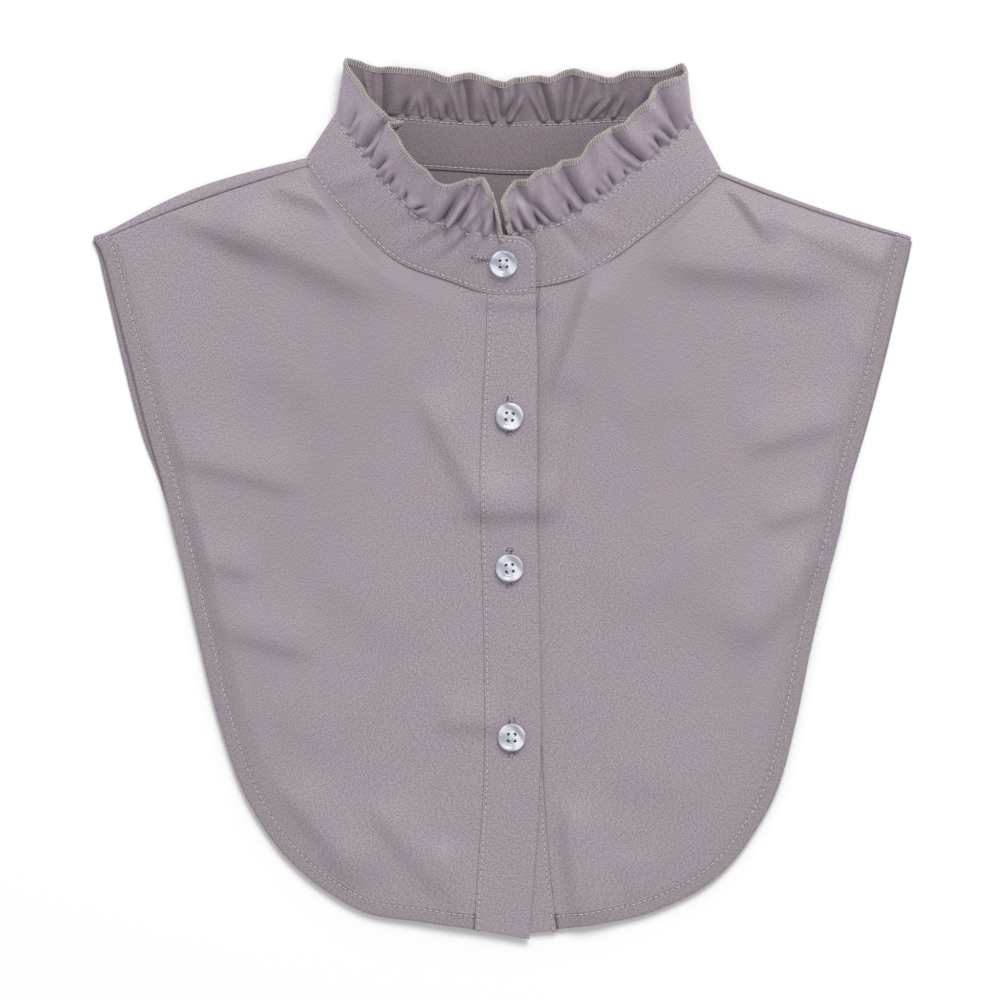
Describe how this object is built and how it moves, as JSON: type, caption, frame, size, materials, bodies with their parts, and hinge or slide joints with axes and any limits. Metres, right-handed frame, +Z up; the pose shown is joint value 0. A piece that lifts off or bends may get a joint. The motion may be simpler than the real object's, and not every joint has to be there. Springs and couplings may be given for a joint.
{
  "type": "detachable bib collar",
  "caption": "Sleeveless false-collar bib with a buttoned front placket, stand collar and gathered frill, lying flat.",
  "frame": {"origin": "middle of the footprint, on the surface that the back lies on", "axes": "+Y from the hem to the neck, +Z up out of the front face, +X to the wearer's left"},
  "size_m": [0.3378, 0.3608, 0.032],
  "materials": {
    "bib_satin": "satin",
    "binding_satin": "satin",
    "frill_satin": "satin",
    "button_pearl": "gloss"
  },
  "bodies": {
    "root": {"back_panel": "bib_satin", "back_binding": "binding_satin", "front_panel_right": "bib_satin", "front_binding_right": "binding_satin", "front_panel_left": "bib_satin", "front_binding_left": "binding_satin", "button_placket": "bib_satin", "buttonhole_placket": "bib_satin", "collar_band": "bib_satin", "collar_ruffle": "frill_satin", "button_1": "button_pearl", "button_2": "button_pearl", "button_3": "button_pearl", "button_4": "button_pearl"}
  },
  "joints": []
}
